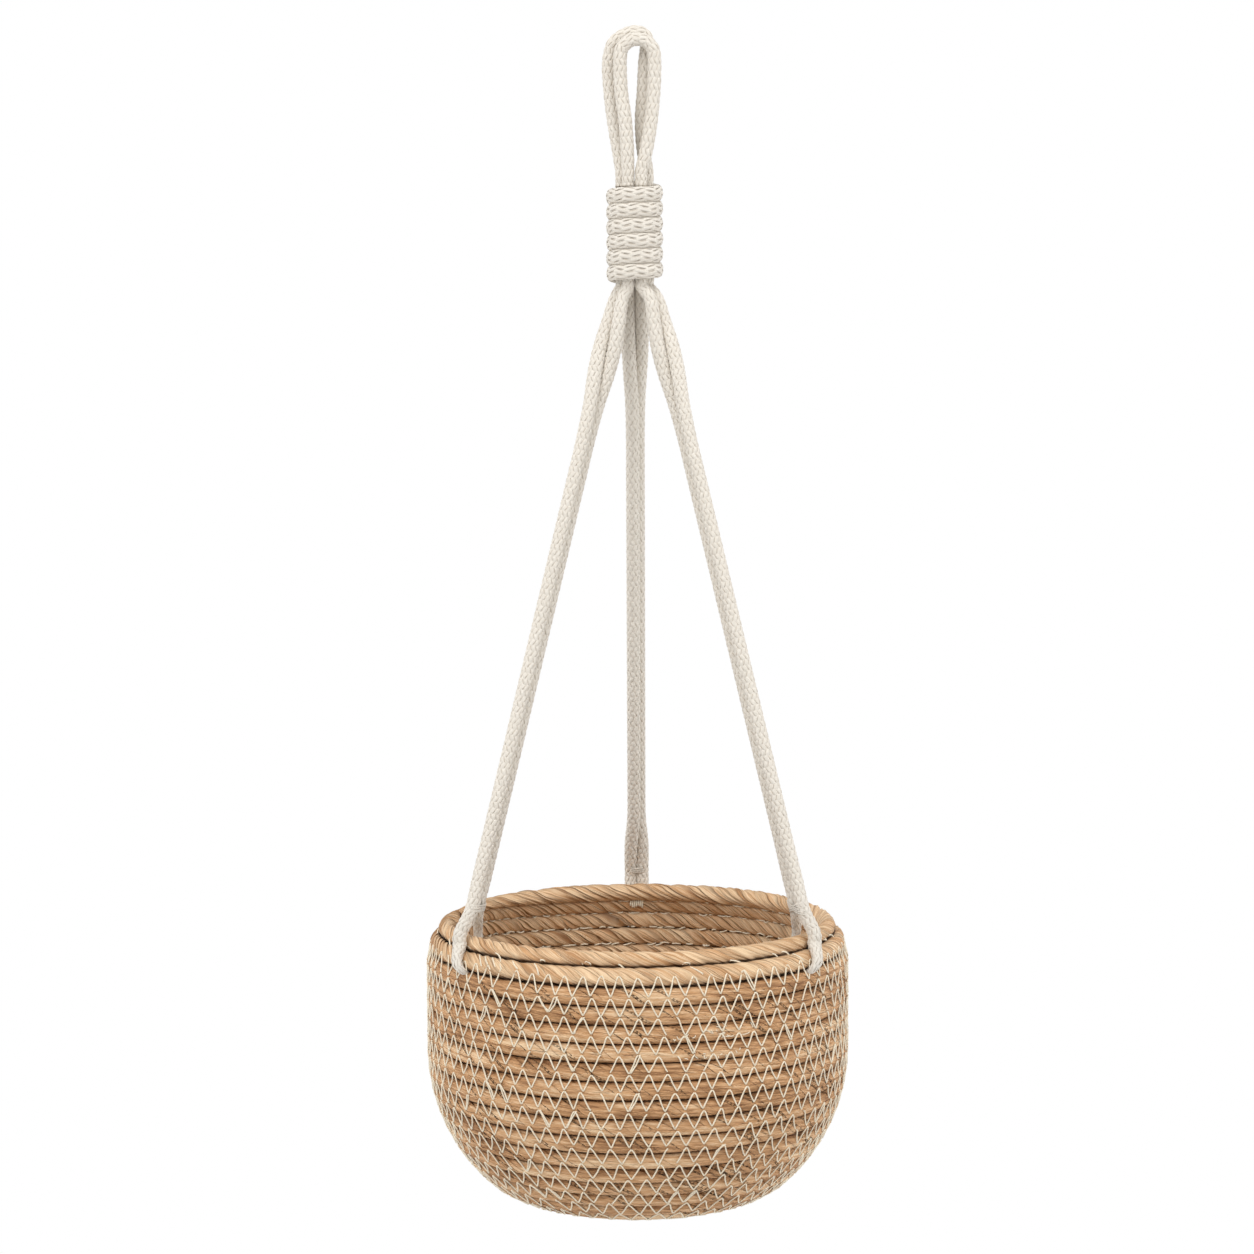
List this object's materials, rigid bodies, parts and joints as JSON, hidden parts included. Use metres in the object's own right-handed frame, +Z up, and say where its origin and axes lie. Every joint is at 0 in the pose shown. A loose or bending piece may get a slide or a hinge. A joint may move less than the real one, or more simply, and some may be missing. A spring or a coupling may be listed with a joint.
{
  "type": "hanging planter",
  "caption": "Bowl-shaped hanging planter coiled from husk-wrapped rope, carried by doubled cotton ropes that are bound together under a hanging loop.",
  "frame": {"origin": "the point on the underside of the hanging loop's crown where a hook bears", "axes": "+Z up, the hook's bar along Y, the planter's front towards -Y"},
  "size_m": [0.2158, 0.2228, 0.5963],
  "materials": {
    "husk_rope": "dry, fibrous husk strips wound on a rope, with a faint sheen",
    "cotton_rope": "matt braided natural cotton",
    "sewing_thread": "matt pale thread"
  },
  "bodies": {
    "loop_crown": {"loop_crown_front": "cotton_rope", "loop_crown_rear": "cotton_rope"},
    "loop_legs": {"loop_leg_left_inner": "cotton_rope", "loop_leg_left_outer": "cotton_rope", "loop_leg_right_front": "cotton_rope", "loop_leg_right_rear": "cotton_rope"},
    "wrap": {"gathering_wrap": "cotton_rope", "bound_run_left_outer": "cotton_rope", "bound_run_left_inner": "cotton_rope", "bound_run_right_front": "cotton_rope", "bound_run_right_rear": "cotton_rope", "bound_run_back_right": "cotton_rope", "bound_run_back_left": "cotton_rope"},
    "basket": {"basket_coil": "husk_rope", "hanger_rope_left": "cotton_rope", "hanger_rope_right": "cotton_rope", "hanger_rope_back": "cotton_rope", "eye_tack_left": "sewing_thread", "eye_tack_right": "sewing_thread", "eye_tack_back": "sewing_thread", "wall_tack_back": "sewing_thread"}
  },
  "joints": [
    {"name": "loop_swing", "type": "hinge", "parent": "loop_crown", "child": "loop_legs", "pos_m": [0, 0, 0], "axis": [0, 1, 0], "range_deg": [-20, 20], "deforming": ["loop_leg_left_inner", "loop_leg_left_outer", "loop_leg_right_front", "loop_leg_right_rear"]},
    {"name": "neck_twist", "type": "hinge", "parent": "loop_legs", "child": "wrap", "pos_m": [0, 0, -0.0696], "axis": [0, 0, 1], "range_deg": [-180, 180]},
    {"name": "basket_swing", "type": "hinge", "parent": "wrap", "child": "basket", "pos_m": [0, 0, -0.1156], "axis": [1, 0, 0], "range_deg": [-15, 15], "deforming": ["hanger_rope_left", "hanger_rope_right", "hanger_rope_back"]}
  ]
}
